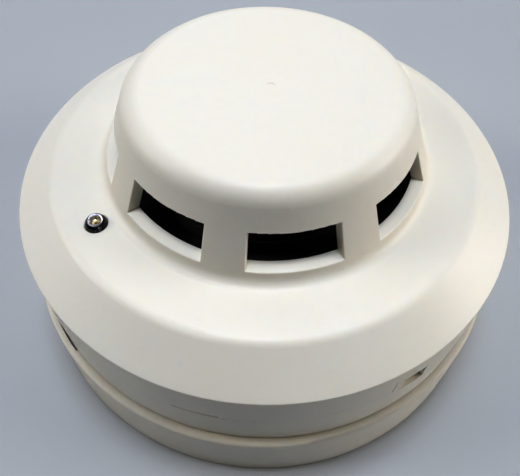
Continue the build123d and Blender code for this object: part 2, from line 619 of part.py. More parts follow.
def rear_housing():
    lip_outer = COVER_INNER + LIP_THICKNESS
    lip_top = SEAM_HEIGHT + LIP_RISE
    bore_side = BASE_BORE - HEAD_GAP
    over_rim = BASE_HEIGHT + TURN_GAP
    points = [
        (0, FLOOR_BOTTOM), (SPIGOT_INNER, FLOOR_BOTTOM), (SPIGOT_INNER, EAR_BOTTOM),
        (SPIGOT_OUTER, EAR_BOTTOM), (SPIGOT_OUTER, SIDE_BOTTOM), (bore_side, SIDE_BOTTOM),
        (bore_side, over_rim), (SIDE_RADIUS, over_rim), (SIDE_RADIUS, SEAM_HEIGHT),
        (lip_outer, SEAM_HEIGHT), (lip_outer, lip_top), (COVER_INNER, lip_top),
        (COVER_INNER, FLOOR_TOP), (0, FLOOR_TOP),
    ]
    body = turned(points)
    for angle, half_angle in zip(EAR_ANGLES, EAR_HALF_ANGLES):
        ear_top = EAR_BOTTOM + EAR_THICKNESS
        body += sector(SPIGOT_INNER + BITE, bore_side, EAR_BOTTOM, ear_top, angle, half_angle)
    barb = SEAM_HEIGHT - HOOK_REACH
    for angle in evenly(HOOK_COUNT, NOTCH_ANGLE):
        pocket_outer = COVER_INNER + BARB_DEPTH
        pocket = (barb - 2 * SNUG_GAP, barb + BARB_HEIGHT + SNUG_GAP)
        pocket_half = HOOK_HALF_ANGLE + POCKET_SIDE
        body -= sector(COVER_INNER - CUT_PAST, pocket_outer, *pocket, angle, pocket_half)
    notch = (SEAM_HEIGHT - NOTCH_DROP, SEAM_HEIGHT + CUT_PAST)
    outside = SIDE_RADIUS + CUT_PAST
    body -= sector(lip_outer - SNUG_GAP, outside, *notch, NOTCH_ANGLE, NOTCH_HALF_ANGLE)
    for angle in contact_frames():
        hole = rod(CONTACT_SCREW_RADIUS + SCREW_GAP, 0, FLOOR_TOP + CUT_PAST)
        body -= on_circle(hole, PILLAR_CIRCLE, angle + CREST_TURN)
    return body


# ---- Contacts and pillars in the head ----
def contact_blades():
    inner = PILLAR_CIRCLE - BLADE_MARGIN
    outer = CONTACT_CIRCLE + BLADE_HALF_WIDTH
    blades = []
    for angle in contact_frames():
        turn = angle + CREST_TURN
        blade = sector(inner, outer, BLADE_BOTTOM, FLOOR_BOTTOM, turn, BLADE_HALF_ANGLE)
        hole = rod(CONTACT_SCREW_RADIUS + SCREW_GAP, 0, FLOOR_BOTTOM + CUT_PAST)
        blades.append(blade - on_circle(hole, PILLAR_CIRCLE, turn))
    return blades


def contact_pillars():
    pillar = rod(PILLAR_RADIUS, FLOOR_TOP, BOARD_BOTTOM)
    thread = CONTACT_SCREW_RADIUS + THREAD_GAP
    pillar -= rod(thread, FLOOR_TOP, FLOOR_TOP + PILLAR_BORE_DEPTH)
    pillar -= rod(thread, BOARD_BOTTOM - PILLAR_BORE_DEPTH, BOARD_BOTTOM)
    return [on_circle(pillar, PILLAR_CIRCLE, angle + CREST_TURN) for angle in contact_frames()]


def contact_screws():
    length = FLOOR_TOP - BLADE_BOTTOM + PILLAR_BORE_DEPTH - SCREW_SHY
    fastener = screw(CONTACT_SCREW_RADIUS, length, CONTACT_HEAD_RADIUS, CONTACT_HEAD_HEIGHT)
    fastener = upside_down(fastener)
    frames = contact_frames()
    return [on_circle(fastener, PILLAR_CIRCLE, angle + CREST_TURN, BLADE_BOTTOM) for angle in frames]


def board_screws():
    length = BOARD_THICKNESS + PILLAR_BORE_DEPTH - SCREW_SHY
    fastener = screw(CONTACT_SCREW_RADIUS, length, CONTACT_HEAD_RADIUS, CONTACT_HEAD_HEIGHT)
    frames = contact_frames()
    return [on_circle(fastener, PILLAR_CIRCLE, angle + CREST_TURN, BOARD_TOP) for angle in frames]


# ---- Circuit board and its components ----
SENSOR_LEADS = [
    (EMITTER_ANGLE, LEAD_BEND, -LEAD_PITCH / 2), (EMITTER_ANGLE, LEAD_BEND, LEAD_PITCH / 2),
    (RECEIVER_ANGLE, DIODE_BACK - DIODE_SIZE[0] / 2, -LEAD_PITCH / 2),
    (RECEIVER_ANGLE, DIODE_BACK - DIODE_SIZE[0] / 2, LEAD_PITCH / 2),
]
LIGHT_LEADS = [
    (LIGHT_ANGLE, LIGHT_CIRCLE, -LEAD_PITCH / 2), (LIGHT_ANGLE, LIGHT_CIRCLE, LEAD_PITCH / 2),
]
# angle, circle, radius and height of each can
CAPACITORS = [(60.0, 16.0, 4.0, 11.5), (180.0, 16.0, 3.15, 9.0)]
CAN_LEAD_OFFSET = 1.25
CAN_CRIMP = (1.8, 0.6, 0.25)  # groove below the board, its height and depth
CAN_RIM = (0.8, 0.2)         # rim round the vent, and its height
VARISTOR_ANGLE = 352.0
VARISTOR_CIRCLE = 39.0
VARISTOR_RADIUS = 4.5
VARISTOR_THICKNESS = 4.0
VARISTOR_STANDOFF = 2.0
CHIP_DIMPLE = 0.4            # radius of the mark at the first leg
CHIP_LEG_HALF = 0.2
CHIP_LEG_REACH = 1.0
CHIP_CIRCLE = 39.5           # both chips with legs
CONTROLLER_ANGLE = 272.0
AMPLIFIER_ANGLE = 297.0
LEG_PITCH = 1.27
RESISTOR_SIZE = (2.0, 1.25, 0.55)
RESISTOR_PITCH = 7.0         # degrees
RESISTOR_START = 2.0
RESISTOR_CIRCLES = (39.0, 43.0)
RESISTOR_COLUMNS = 9
CERAMIC_SIZE = (2.0, 1.25, 0.95)
CERAMIC_PITCH = 9.0
CERAMIC_START = 100.0
CERAMIC_CIRCLES = (38.0, 42.5)
CERAMIC_COLUMNS = 6
TRANSISTOR_ANGLES = (168.0, 182.0, 222.0)
TRANSISTOR_CIRCLE = 41.0
TRANSISTOR_PITCH = 1.9
RECTIFIER_SIZE = (4.3, 2.6, 2.2)
RECTIFIER_OFFSET = 7.5       # outside the pillar circle
SHIELD_LEG = (RECEIVER_ANGLE, DIODE_BACK + SHIELD_GAP + SHIELD_SHEET / 2)


def lead_places():
    """(angle, distance along the local X, offset along the local Y) of each lead."""
    places = SENSOR_LEADS + LIGHT_LEADS
    for angle, radius, _, _ in CAPACITORS:
        places += [(angle, radius, side * CAN_LEAD_OFFSET) for side in (-1, 1)]
    places += [(VARISTOR_ANGLE, VARISTOR_CIRCLE, side * LEAD_PITCH) for side in (-1, 1)]
    return places


def circuit_board():
    board = rod(BOARD_RADIUS, BOARD_BOTTOM, BOARD_TOP)
    for angle in contact_frames():
        hole = rod(CONTACT_SCREW_RADIUS + SCREW_GAP, 0, TOP_HEIGHT)
        board -= on_circle(hole, PILLAR_CIRCLE, angle + CREST_TURN)
    for angle in evenly(CHAMBER_SCREW_COUNT):
        hole = rod(CHAMBER_SCREW_RADIUS + SCREW_GAP, 0, TOP_HEIGHT)
        board -= on_circle(hole, CHAMBER_SCREW_CIRCLE, angle)
    for angle, along, across in lead_places():
        hole = Pos(along, across, 0) * rod(LEAD_HOLE_RADIUS, 0, TOP_HEIGHT)
        board -= place(hole, angle)
    angle, along = SHIELD_LEG
    return board - place(shield_slot(along, 0, TOP_HEIGHT), angle)


def shield_slot(along, bottom, top):
    depth, half = SHIELD_SLOT
    return block((along - depth, along + depth), (-half, half), (bottom, top))


def wire(along, across, bottom, top):
    """Upright square wire of a component."""
    half = LEAD_SIZE / 2
    return block((along - half, along + half), (across - half, across + half), (bottom, top))


def component_leads():
    half = LEAD_SIZE / 2
    leads = []
    for angle, along, across in SENSOR_LEADS[:2]:
        back = block((EMITTER_BACK, along + half), (across - half, across + half),
                     (OPTICAL_HEIGHT - half, OPTICAL_HEIGHT + half))
        leads.append(place(back + wire(along, across, LEAD_END, OPTICAL_HEIGHT + half), angle))
    for angle, along, across in SENSOR_LEADS[2:]:
        bottom = OPTICAL_HEIGHT - DIODE_SIZE[2] / 2
        leads.append(place(wire(along, across, LEAD_END, bottom), angle))
    for angle, along, across in LIGHT_LEADS:
        leads.append(place(wire(along, across, LEAD_END, BOARD_TOP + LIGHT_STANDOFF), angle))
    for angle, radius, _, _ in CAPACITORS:
        for side in (-1, 1):
            stub = wire(radius, side * CAN_LEAD_OFFSET, BOARD_BOTTOM, BOARD_TOP + LEAD_STUB)
            leads.append(place(stub, angle))
    for side in (-1, 1):
        rise = math.sqrt(VARISTOR_RADIUS ** 2 - (LEAD_PITCH - half) ** 2)
        bottom = BOARD_BOTTOM - VARISTOR_STANDOFF - VARISTOR_RADIUS + rise
        stub = wire(VARISTOR_CIRCLE, side * LEAD_PITCH, bottom, BOARD_TOP + LEAD_STUB)
        leads.append(place(stub, VARISTOR_ANGLE))
    return leads


def electrolytic_capacitors():
    cans = []
    for angle, radius, can_radius, height in CAPACITORS:
        can = rod(can_radius, BOARD_BOTTOM - height, BOARD_BOTTOM)
        drop, groove, depth = CAN_CRIMP
        crimp = (BOARD_BOTTOM - drop - groove, BOARD_BOTTOM - drop)
        can -= ring(can_radius - depth, can_radius + CUT_PAST, *crimp)
        end = BOARD_BOTTOM - height
        can -= rod(can_radius - CAN_RIM[0], end - CUT_PAST, end + CAN_RIM[1])
        cans.append(on_circle(can, radius, angle))
    return cans


def varistor():
    disc = Rot(0, 90, 0) * Cylinder(VARISTOR_RADIUS, VARISTOR_THICKNESS)
    height = BOARD_BOTTOM - VARISTOR_STANDOFF - VARISTOR_RADIUS
    return on_circle(disc, VARISTOR_CIRCLE, VARISTOR_ANGLE, height)


def chip(length, width, height):
    """Surface-mount block with its underside at the origin and its length across the radius."""
    return block((-width / 2, width / 2), (-length / 2, length / 2), (0, height))


def packaged(length, width, height, legs, pitch):
    """Moulded chip with a row of legs on each long side."""
    dimple = Cylinder(CHIP_DIMPLE, CHIP_DIMPLE / 2)
    body = chip(length, width, height) - Pos(0, 2 * CHIP_DIMPLE - length / 2, height) * dimple
    for index in range(legs):
        offset = (index - (legs - 1) / 2) * pitch
        sides = (offset - CHIP_LEG_HALF, offset + CHIP_LEG_HALF)
        reach = width / 2 + CHIP_LEG_REACH
        body += block((-reach, reach), sides, (0, height / 2))
    return body


def microcontroller():
    return on_circle(packaged(8.7, 3.9, 1.6, 7, LEG_PITCH), CHIP_CIRCLE, CONTROLLER_ANGLE, BOARD_TOP)


def amplifier_chip():
    return on_circle(packaged(4.9, 3.9, 1.5, 4, LEG_PITCH), CHIP_CIRCLE, AMPLIFIER_ANGLE, BOARD_TOP)


def chip_resistors():
    angles = [RESISTOR_START + index * RESISTOR_PITCH for index in range(RESISTOR_COLUMNS)]
    places = [(angle, radius) for angle in angles for radius in RESISTOR_CIRCLES]
    return [on_circle(chip(*RESISTOR_SIZE), radius, angle, BOARD_TOP) for angle, radius in places]


def chip_capacitors():
    angles = [CERAMIC_START + index * CERAMIC_PITCH for index in range(CERAMIC_COLUMNS)]
    places = [(angle, radius) for angle in angles for radius in CERAMIC_CIRCLES]
    return [on_circle(chip(*CERAMIC_SIZE), radius, angle, BOARD_TOP) for angle, radius in places]


def transistors():
    body = packaged(2.9, 1.3, 1.0, 2, TRANSISTOR_PITCH)
    return [on_circle(body, TRANSISTOR_CIRCLE, angle, BOARD_TOP) for angle in TRANSISTOR_ANGLES]


def rectifier_diodes():
    radius = PILLAR_CIRCLE + RECTIFIER_OFFSET
    frames = contact_frames()
    body = upside_down(chip(*RECTIFIER_SIZE))
    return [on_circle(body, radius, angle + CREST_TURN, BOARD_BOTTOM) for angle in frames]


def status_led():
    bottom = BOARD_TOP + LIGHT_STANDOFF
    shoulder = bottom + LIGHT_LENGTH - LIGHT_RADIUS
    body = rod(LIGHT_RADIUS, bottom, shoulder) + Pos(0, 0, shoulder) * Sphere(LIGHT_RADIUS)
    body += rod(LIGHT_RADIUS + LIGHT_FLANGE, bottom, bottom + LIGHT_FLANGE_HEIGHT)
    return on_circle(body, LIGHT_CIRCLE, LIGHT_ANGLE)


# ---- Sensing chamber ----
def ir_emitter():
    """Side-lying lamp: the axis of its barrel points at the middle of the chamber."""
    tip = EMITTER_TIP + EMITTER_RADIUS
    barrel = Rot(0, 90, 0) * rod(EMITTER_RADIUS, tip, EMITTER_BACK)
    barrel += Pos(tip, 0, 0) * Sphere(EMITTER_RADIUS)
    barrel += Rot(0, 90, 0) * rod(EMITTER_RADIUS + EMITTER_FLANGE, HOLDER_BACK, EMITTER_BACK)
    return place(Pos(0, 0, OPTICAL_HEIGHT) * barrel, EMITTER_ANGLE)


def photodiode():
    depth, width, height = DIODE_SIZE
    front = DIODE_BACK - depth
    body = block((front, DIODE_BACK), (-width / 2, width / 2), (-height / 2, height / 2))
    lens = Pos(front, 0, 0) * Sphere(DIODE_LENS_RADIUS)
    return place(Pos(0, 0, OPTICAL_HEIGHT) * (body + lens), RECEIVER_ANGLE)


def photodiode_shield():
    """Folded can round the photodiode, open below, with a hole in front of the lens."""
    depth, width, height = DIODE_SIZE
    front = DIODE_BACK - depth - SHIELD_GAP
    back = DIODE_BACK + SHIELD_GAP
    half = width / 2 + SHIELD_GAP
    top = height / 2 + SHIELD_GAP
    bottom = -height / 2
    sheet = SHIELD_SHEET
    can = block((front - sheet, back + sheet), (-half - sheet, half + sheet), (bottom, top + sheet))
    can -= block((front, back), (-half, half), (bottom - CUT_PAST, top))
    hole = rod(DIODE_LENS_RADIUS + SHIELD_GAP, front - sheet - CUT_PAST, front + CUT_PAST)
    tab = (LEAD_END - OPTICAL_HEIGHT, bottom + BITE)
    leg = block((back, back + sheet), (-SHIELD_TAB, SHIELD_TAB), tab)
    return place(Pos(0, 0, OPTICAL_HEIGHT) * (can - Rot(0, 90, 0) * hole + leg), RECEIVER_ANGLE)


def vane():
    """One bent labyrinth vane, seen from above as a chevron."""
    middle = (VANE_INNER + VANE_OUTER) / 2
    sweep = math.radians(VANE_SWEEP)
    path = [
        (VANE_INNER, 0), (middle * math.cos(sweep), middle * math.sin(sweep)), (VANE_OUTER, 0),
    ]
    sides = []
    for offset in (VANE_THICKNESS / 2, -VANE_THICKNESS / 2):
        first = inner_line(path[0], path[1], offset)
        second = inner_line(path[1], path[2], offset)
        corner = meeting(first, second)
        run = [(first[0].X, first[0].Y), corner, (second[1].X, second[1].Y)]
        sides.append(run)
    face = make_face(Polyline(*sides[0], *sides[1][::-1], close=True))
    return extrude(Pos(0, 0, CHAMBER_FLOOR_TOP) * face, VANE_TOP - CHAMBER_FLOOR_TOP)


def apart(angle, other):
    """Smallest angle between two directions."""
    return abs((angle - other + 180) % 360 - 180)


def emitter_holder():
    body = block((HOLDER_FRONT, HOLDER_BACK), (-HOLDER_HALF_WIDTH, HOLDER_HALF_WIDTH),
                 (CHAMBER_FLOOR_TOP, VANE_TOP))
    lying = Pos(0, 0, OPTICAL_HEIGHT) * Rot(0, 90, 0)
    body -= lying * rod(APERTURE_RADIUS, 0, HOLDER_BACK)
    body -= lying * rod(EMITTER_RADIUS + EMITTER_GAP, HOLDER_FRONT + HOLDER_WALL, HOLDER_BACK + CUT_PAST)
    return place(body, EMITTER_ANGLE)


def receiver_holder():
    back = HOLDER_BACK + RECEIVER_TAIL
    upright = (CHAMBER_FLOOR_TOP, VANE_TOP)
    body = block((HOLDER_FRONT, back), (-HOLDER_HALF_WIDTH, HOLDER_HALF_WIDTH), upright)
    room = HOLDER_HALF_WIDTH - HOLDER_WALL
    body -= block((HOLDER_FRONT + HOLDER_WALL, back + CUT_PAST), (-room, room), upright)
    body -= Pos(0, 0, OPTICAL_HEIGHT) * Rot(0, 90, 0) * rod(APERTURE_RADIUS, 0, HOLDER_BACK)
    return place(body, RECEIVER_ANGLE)


def chamber_base():
    floor_bottom = CHAMBER_FLOOR_TOP - CHAMBER_FLOOR
    flange_bottom = FLANGE_TOP - FLANGE_THICKNESS
    points = [
        (0, floor_bottom), (PEDESTAL_INNER, floor_bottom), (PEDESTAL_INNER, BOARD_TOP),
        (PEDESTAL_OUTER, BOARD_TOP), (PEDESTAL_OUTER, flange_bottom),
        (FLANGE_RADIUS, flange_bottom), (FLANGE_RADIUS, FLANGE_TOP),
        (PEDESTAL_OUTER, FLANGE_TOP), (PEDESTAL_OUTER, floor_bottom),
        (CHAMBER_RADIUS, floor_bottom), (CHAMBER_RADIUS, CHAMBER_FLOOR_TOP + LIP_HEIGHT),
        (CHAMBER_RADIUS - LIP_WIDTH, CHAMBER_FLOOR_TOP + LIP_HEIGHT),
        (CHAMBER_RADIUS - LIP_WIDTH, CHAMBER_FLOOR_TOP), (0, CHAMBER_FLOOR_TOP),
    ]
    body = turned(points)
    holders = (EMITTER_ANGLE, RECEIVER_ANGLE)
    for angle in evenly(VANE_COUNT, 5.0):
        if min(apart(angle + VANE_SWEEP / 2, other) for other in holders) > VANE_CLEAR_ANGLE:
            body += place(vane(), angle)
    body += emitter_holder() + receiver_holder()
    for angle in evenly(CHAMBER_SCREW_COUNT):
        boss = rod(BOSS_RADIUS, BOARD_TOP, floor_bottom + BITE)
        boss -= rod(CHAMBER_SCREW_RADIUS + THREAD_GAP, BOARD_TOP, floor_bottom - SCREW_SHY)
        body += on_circle(boss, CHAMBER_SCREW_CIRCLE, angle)
    across = LEAD_PITCH / 2 + 2 * LEAD_SIZE
    along = (LEAD_BEND - LEAD_SLOT, LEAD_BEND + LEAD_SLOT)
    through = (BOARD_TOP, CHAMBER_FLOOR_TOP + CUT_PAST)
    body -= place(block(along, (-across, across), through), EMITTER_ANGLE)
    for angle, along, offset in SENSOR_LEADS[2:]:
        body -= place(Pos(along, offset, 0) * rod(LEAD_HOLE_RADIUS, *through), angle)
    angle, along = SHIELD_LEG
    return body - place(shield_slot(along, BOARD_TOP, CHAMBER_FLOOR_TOP + BITE), angle)


def chamber_cover():
    body = rod(CHAMBER_RADIUS, LID_BOTTOM, LID_TOP)
    lip = (LID_BOTTOM - LID_LIP_HEIGHT, LID_BOTTOM)
    body += ring(CHAMBER_RADIUS - LIP_WIDTH, CHAMBER_RADIUS, *lip)
    return body + ring(VANE_OUTER + LID_LIP_GAP, SCREEN_INNER - SNUG_GAP, *lip)


def insect_screen():
    """Thin black sleeve, pierced all round by small rectangular holes."""
    body = ring(SCREEN_INNER, SCREEN_OUTER, CHAMBER_FLOOR_TOP, LID_BOTTOM)
    low = CHAMBER_FLOOR_TOP + LIP_HEIGHT + SCREEN_EDGE
    high = LID_BOTTOM - LIP_HEIGHT - SCREEN_EDGE
    row_pitch = (high - low + SCREEN_BAR) / SCREEN_ROWS
    width = 2 * math.pi * SCREEN_OUTER / SCREEN_COLUMNS - SCREEN_BAR
    holes = []
    for row in range(SCREEN_ROWS):
        bottom = low + row * row_pitch
        for angle in evenly(SCREEN_COLUMNS):
            limits = (SCREEN_INNER - CUT_PAST, SCREEN_OUTER + CUT_PAST)
            hole = block(limits, (-width / 2, width / 2), (bottom, bottom + row_pitch - SCREEN_BAR))
            holes.append(place(hole, angle))
    return body.cut(*holes)


def chamber_gasket():
    outer = FLANGE_RADIUS - GASKET_INSET
    return ring(outer - GASKET_WIDTH, outer, FLANGE_TOP, GASKET_TOP)


def chamber_screws():
    length = BOARD_THICKNESS + CHAMBER_SCREW_BITE
    fastener = screw(CHAMBER_SCREW_RADIUS, length, CHAMBER_HEAD_RADIUS, CHAMBER_HEAD_HEIGHT)
    fastener = upside_down(fastener)
    frames = evenly(CHAMBER_SCREW_COUNT)
    return [on_circle(fastener, CHAMBER_SCREW_CIRCLE, angle, BOARD_BOTTOM) for angle in frames]


PARTS = [
    mounting_base, base_contacts, terminal_clamps, terminal_screws, lock_lever, lock_pin,
    top_cover, rear_housing, contact_blades, contact_pillars, contact_screws, board_screws,
    circuit_board, component_leads, electrolytic_capacitors, varistor, microcontroller,
    amplifier_chip, chip_resistors, chip_capacitors, transistors, rectifier_diodes, status_led,
    ir_emitter, photodiode, photodiode_shield, chamber_base, chamber_cover, insect_screen,
    chamber_gasket, chamber_screws,
]

os.makedirs("parts", exist_ok=True)
for make in PARTS:
    shape = make()
    if isinstance(shape, list):
        shape = Compound(children=shape)
    export_step(shape, f"parts/{make.__name__}.step")
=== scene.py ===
import math

import bmesh
import bpy
from mathutils import Matrix, Vector


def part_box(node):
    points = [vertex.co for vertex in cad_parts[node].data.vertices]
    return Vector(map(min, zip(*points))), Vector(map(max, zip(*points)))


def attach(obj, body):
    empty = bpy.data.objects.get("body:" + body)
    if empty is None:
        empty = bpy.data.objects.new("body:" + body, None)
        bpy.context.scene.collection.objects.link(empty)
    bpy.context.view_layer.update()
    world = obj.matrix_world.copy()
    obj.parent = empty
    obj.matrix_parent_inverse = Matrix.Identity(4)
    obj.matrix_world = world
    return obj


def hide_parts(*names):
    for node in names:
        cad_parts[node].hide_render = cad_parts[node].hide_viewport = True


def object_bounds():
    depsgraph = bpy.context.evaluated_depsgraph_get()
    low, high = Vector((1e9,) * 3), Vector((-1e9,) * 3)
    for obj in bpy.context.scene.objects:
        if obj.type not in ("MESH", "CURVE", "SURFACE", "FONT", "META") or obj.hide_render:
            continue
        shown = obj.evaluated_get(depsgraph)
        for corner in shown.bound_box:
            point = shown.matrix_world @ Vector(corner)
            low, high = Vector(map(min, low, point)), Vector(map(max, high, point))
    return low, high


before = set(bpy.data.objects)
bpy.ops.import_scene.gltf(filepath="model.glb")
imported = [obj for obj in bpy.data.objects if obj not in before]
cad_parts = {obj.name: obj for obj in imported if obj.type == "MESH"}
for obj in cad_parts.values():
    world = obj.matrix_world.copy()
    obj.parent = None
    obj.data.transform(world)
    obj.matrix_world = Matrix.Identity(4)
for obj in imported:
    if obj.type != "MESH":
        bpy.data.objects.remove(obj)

cad_low, cad_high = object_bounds()
MM = 0.001
WIDTH = 520


# ---- Camera ----
def aimed_camera():
    """Camera with its optical centre off the middle of the frame, looking down at the dome."""
    turn = math.radians(-10.15)
    elevation = math.radians(52.16)
    roll = math.radians(1.81)
    distance = 128.9 * MM
    focal_pixels = 522.9
    target = Vector((0, 0, 19.0 * MM))
    right = Vector((math.cos(turn), math.sin(turn), 0))
    ahead = Vector((-math.sin(turn), math.cos(turn), 0))
    forward = ahead * math.cos(elevation) - Vector((0, 0, math.sin(elevation)))
    up = ahead * math.sin(elevation) + Vector((0, 0, math.cos(elevation)))
    tilted_right = right * math.cos(roll) + up * math.sin(roll)
    tilted_up = up * math.cos(roll) - right * math.sin(roll)
    data = bpy.data.cameras.new("camera")
    data.sensor_width = 36.0
    data.lens = focal_pixels / WIDTH * data.sensor_width
    data.shift_x = -4.7 / WIDTH
    data.shift_y = -30.0 / WIDTH
    data.clip_start = 0.005
    data.clip_end = 20.0
    camera = bpy.data.objects.new("camera", data)
    axes = Matrix((tilted_right, tilted_up, -forward)).transposed().to_4x4()
    camera.matrix_world = Matrix.Translation(target - forward * distance) @ axes
    bpy.context.scene.collection.objects.link(camera)
    bpy.context.scene.camera = camera


# ---- Node materials ----
class Paint:
    """One node material under construction; coordinates are metres in the part's frame."""

    def __init__(self, name):
        self.material = bpy.data.materials.new(name)
        self.material.use_nodes = True
        self.nodes = self.material.node_tree.nodes
        self.links = self.material.node_tree.links
        self.shader = self.nodes["Principled BSDF"]
        self.coordinates = self.nodes.new("ShaderNodeTexCoord").outputs["Object"]

    def set(self, **values):
        """Constants of the shader, with underscores for the spaces in their names."""
        for name, value in values.items():
            self.shader.inputs[name.replace("_", " ")].default_value = value

    def feed(self, socket, source):
        self.links.new(source, self.shader.inputs[socket])

    def moved(self, scale=(1, 1, 1), turn=(0, 0, 0)):
        """Coordinates stretched and turned."""
        node = self.nodes.new("ShaderNodeMapping")
        self.links.new(self.coordinates, node.inputs["Vector"])
        node.inputs["Scale"].default_value = scale
        node.inputs["Rotation"].default_value = turn
        return node.outputs["Vector"]

    def noise(self, size, detail=2.0, rough=0.5, vector=None, distortion=0.0):
        """Noise with features about size metres across."""
        node = self.nodes.new("ShaderNodeTexNoise")
        self.links.new(vector or self.coordinates, node.inputs["Vector"])
        node.inputs["Scale"].default_value = 1 / size
        node.inputs["Detail"].default_value = detail
        node.inputs["Roughness"].default_value = rough
        node.inputs["Distortion"].default_value = distortion
        return node.outputs["Fac"]

    def cells(self, size):
        """Distance to the nearest of points about size metres apart."""
        node = self.nodes.new("ShaderNodeTexVoronoi")
        self.links.new(self.coordinates, node.inputs["Vector"])
        node.inputs["Scale"].default_value = 1 / size
        return node.outputs["Distance"]

    def spread(self, value, low, high, start=0.0, end=1.0):
        """Map values between low and high to start and end, clamped."""
        node = self.nodes.new("ShaderNodeMapRange")
        self.links.new(value, node.inputs["Value"])
        for name, number in (("From Min", low), ("From Max", high), ("To Min", start), ("To Max", end)):
            node.inputs[name].default_value = number
        return node.outputs["Result"]

    def sums(self, operation, first, second):
        node = self.nodes.new("ShaderNodeMath")
        node.operation = operation
        for socket, value in zip(node.inputs, (first, second)):
            if isinstance(value, (int, float)):
                socket.default_value = value
            else:
                self.links.new(value, socket)
        return node.outputs["Value"]

    def mixed(self, factor, first, second):
        """Colour between first and second; each may be a colour or another output."""
        node = self.nodes.new("ShaderNodeMix")
        node.data_type = "RGBA"
        self.links.new(factor, node.inputs["Factor"])
        sockets = [s for s in node.inputs if s.type == "RGBA"]
        for socket, value in zip(sockets, (first, second)):
            if isinstance(value, tuple):
                socket.default_value = (*value, 1.0)
            else:
                self.links.new(value, socket)
        return next(s for s in node.outputs if s.type == "RGBA")

    def bump(self, height, depth, strength=1.0, below=None):
        """Normal from a height map whose full range is depth metres."""
        node = self.nodes.new("ShaderNodeBump")
        node.inputs["Distance"].default_value = depth
        node.inputs["Strength"].default_value = strength
        self.links.new(height, node.inputs["Height"])
        if below is not None:
            self.links.new(below, node.inputs["Normal"])
        return node.outputs["Normal"]


def satin_plastic(name, colour, roughness=0.42, grain=0.16 * MM, depth=0.006 * MM, specks=True):
    """Injection-moulded plastic: sparked mould grain, faint waviness, slight yellowing, dust."""
    paint = Paint(name)
    warm = tuple(c * k for c, k in zip(colour, (1.0, 0.985, 0.955)))
    cool = tuple(min(1.0, c * k) for c, k in zip(colour, (1.005, 1.008, 1.012)))
    shade = paint.mixed(paint.spread(paint.noise(26 * MM, 3.0), 0.3, 0.7), warm, cool)
    mottle = paint.spread(paint.noise(1.6 * MM, 4.0, 0.6), 0.35, 0.65)
    dull = tuple(c * 0.975 for c in colour)
    shade = paint.mixed(paint.sums("MULTIPLY", mottle, 0.35), shade, dull)
    if specks:
        spot = paint.spread(paint.cells(9 * MM), 0.012, 0.022, 1.0, 0.0)
        rare = paint.spread(paint.noise(14 * MM, 1.0), 0.56, 0.6)
        shade = paint.mixed(paint.sums("MULTIPLY", spot, rare), shade, (0.32, 0.29, 0.25))
    paint.feed("Base Color", shade)
    fine = paint.noise(grain, 2.0, 0.55)
    scuff = paint.noise(7 * MM, 5.0, 0.7)
    rough = paint.sums("ADD", paint.spread(fine, 0.3, 0.7, roughness - 0.04, roughness + 0.04),
                       paint.spread(scuff, 0.4, 0.75, 0.0, 0.07))
    paint.feed("Roughness", rough)
    wave = paint.bump(paint.noise(18 * MM, 1.0), 0.03 * MM, 0.5)
    paint.feed("Normal", paint.bump(fine, depth, 1.0, wave))
    paint.set(IOR=1.5, Specular_IOR_Level=0.45, Subsurface_Weight=0.3)
    paint.set(Subsurface_Radius=(1.0, 0.72, 0.45), Subsurface_Scale=1.2 * MM)
    return paint.material


def matt_black(name, colour=(0.028, 0.028, 0.031), roughness=0.75, grain=0.22 * MM):
    paint = Paint(name)
    patch = paint.spread(paint.noise(5 * MM, 3.0), 0.3, 0.7)
    grey = tuple(c * 1.7 + 0.002 for c in colour)
    paint.feed("Base Color", paint.mixed(patch, colour, grey))
    fine = paint.noise(grain, 3.0, 0.6)
    paint.feed("Roughness", paint.spread(fine, 0.3, 0.7, roughness - 0.06, roughness + 0.08))
    paint.feed("Normal", paint.bump(fine, 0.012 * MM))
    return paint.material


def metal(name, colour, roughness, streak=(1, 1, 12), tarnish=None):
    """Drawn or plated metal: fine streaks along one axis and patches of tarnish."""
    paint = Paint(name)
    paint.set(Metallic=1.0)
    lines = paint.noise(0.5 * MM, 4.0, 0.6, paint.moved(scale=streak))
    patch = paint.spread(paint.noise(2.2 * MM, 3.0, 0.6), 0.35, 0.7)
    dark = tarnish or tuple(c * 0.7 for c in colour)
    paint.feed("Base Color", paint.mixed(patch, colour, dark))
    rough = paint.sums("ADD", paint.spread(lines, 0.3, 0.7, roughness - 0.05, roughness + 0.08),
                       paint.sums("MULTIPLY", patch, 0.1))
    paint.feed("Roughness", rough)
    paint.feed("Normal", paint.bump(lines, 0.004 * MM))
    return paint.material


def clear_epoxy(name, tint, roughness=0.04):
    """Cast lens: clear, with faint flow lines and a slight haze."""
    paint = Paint(name)
    flow = paint.noise(0.8 * MM, 2.0, 0.5, distortion=0.6)
    pale = tuple(min(1.0, c * 1.02) for c in tint)
    paint.feed("Base Color", paint.mixed(flow, tint, pale))
    paint.feed("Roughness", paint.spread(flow, 0.3, 0.7, roughness, roughness + 0.05))
    paint.feed("Normal", paint.bump(flow, 0.004 * MM))
    paint.set(Transmission_Weight=1.0, IOR=1.54)
    return paint.material


